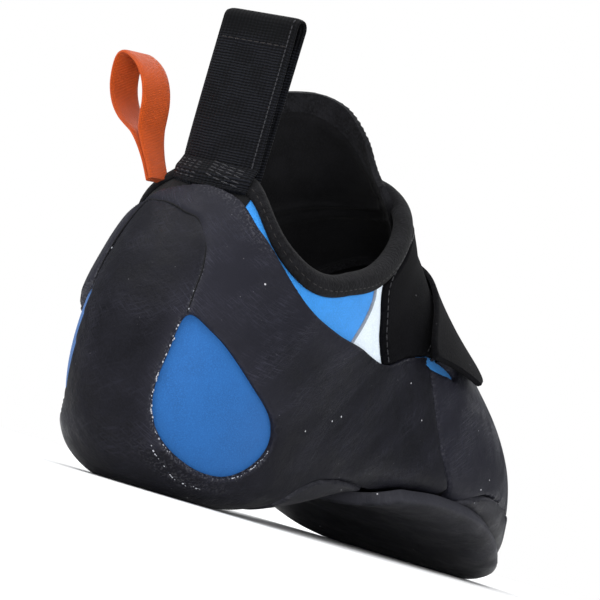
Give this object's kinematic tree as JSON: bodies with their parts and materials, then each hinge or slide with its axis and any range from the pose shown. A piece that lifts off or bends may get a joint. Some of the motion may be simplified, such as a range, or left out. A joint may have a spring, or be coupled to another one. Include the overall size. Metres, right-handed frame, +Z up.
{
  "type": "climbing shoe",
  "caption": "Downturned right climbing shoe: hollow cloth upper, rubber heel with drop windows, toe patch, instep strap, forefoot outsole and two heel pull loops.",
  "frame": {"origin": "on the floor, in the middle of the flat spot that the heel rests on", "axes": "+Z up, +Y from heel to toe, +X to the shoe's outer side (a right shoe)"},
  "size_m": [0.0948, 0.2449, 0.1317],
  "materials": {
    "upper_cloth": "matte microfibre, blue",
    "collar_cloth": "matte stretch cloth, black",
    "strap_cloth": "matte microfibre, black",
    "rand_rubber": "satin smooth rubber, charcoal",
    "sole_rubber": "matte rubber, charcoal",
    "loop_webbing": "ribbed webbing, black",
    "loop_ribbon": "fine woven ribbon, orange",
    "insole_board": "brushed board, grey"
  },
  "bodies": {
    "root": {"upper": "upper_cloth", "insole": "insole_board", "tongue": "collar_cloth", "collar_binding": "collar_cloth", "heel_rand": "rand_rubber", "toe_patch": "rand_rubber", "sole_rand": "rand_rubber", "outsole": "sole_rubber", "strap": "strap_cloth", "strap_tab": "strap_cloth", "pull_loop": "loop_webbing", "side_loop": "loop_ribbon"}
  },
  "joints": []
}
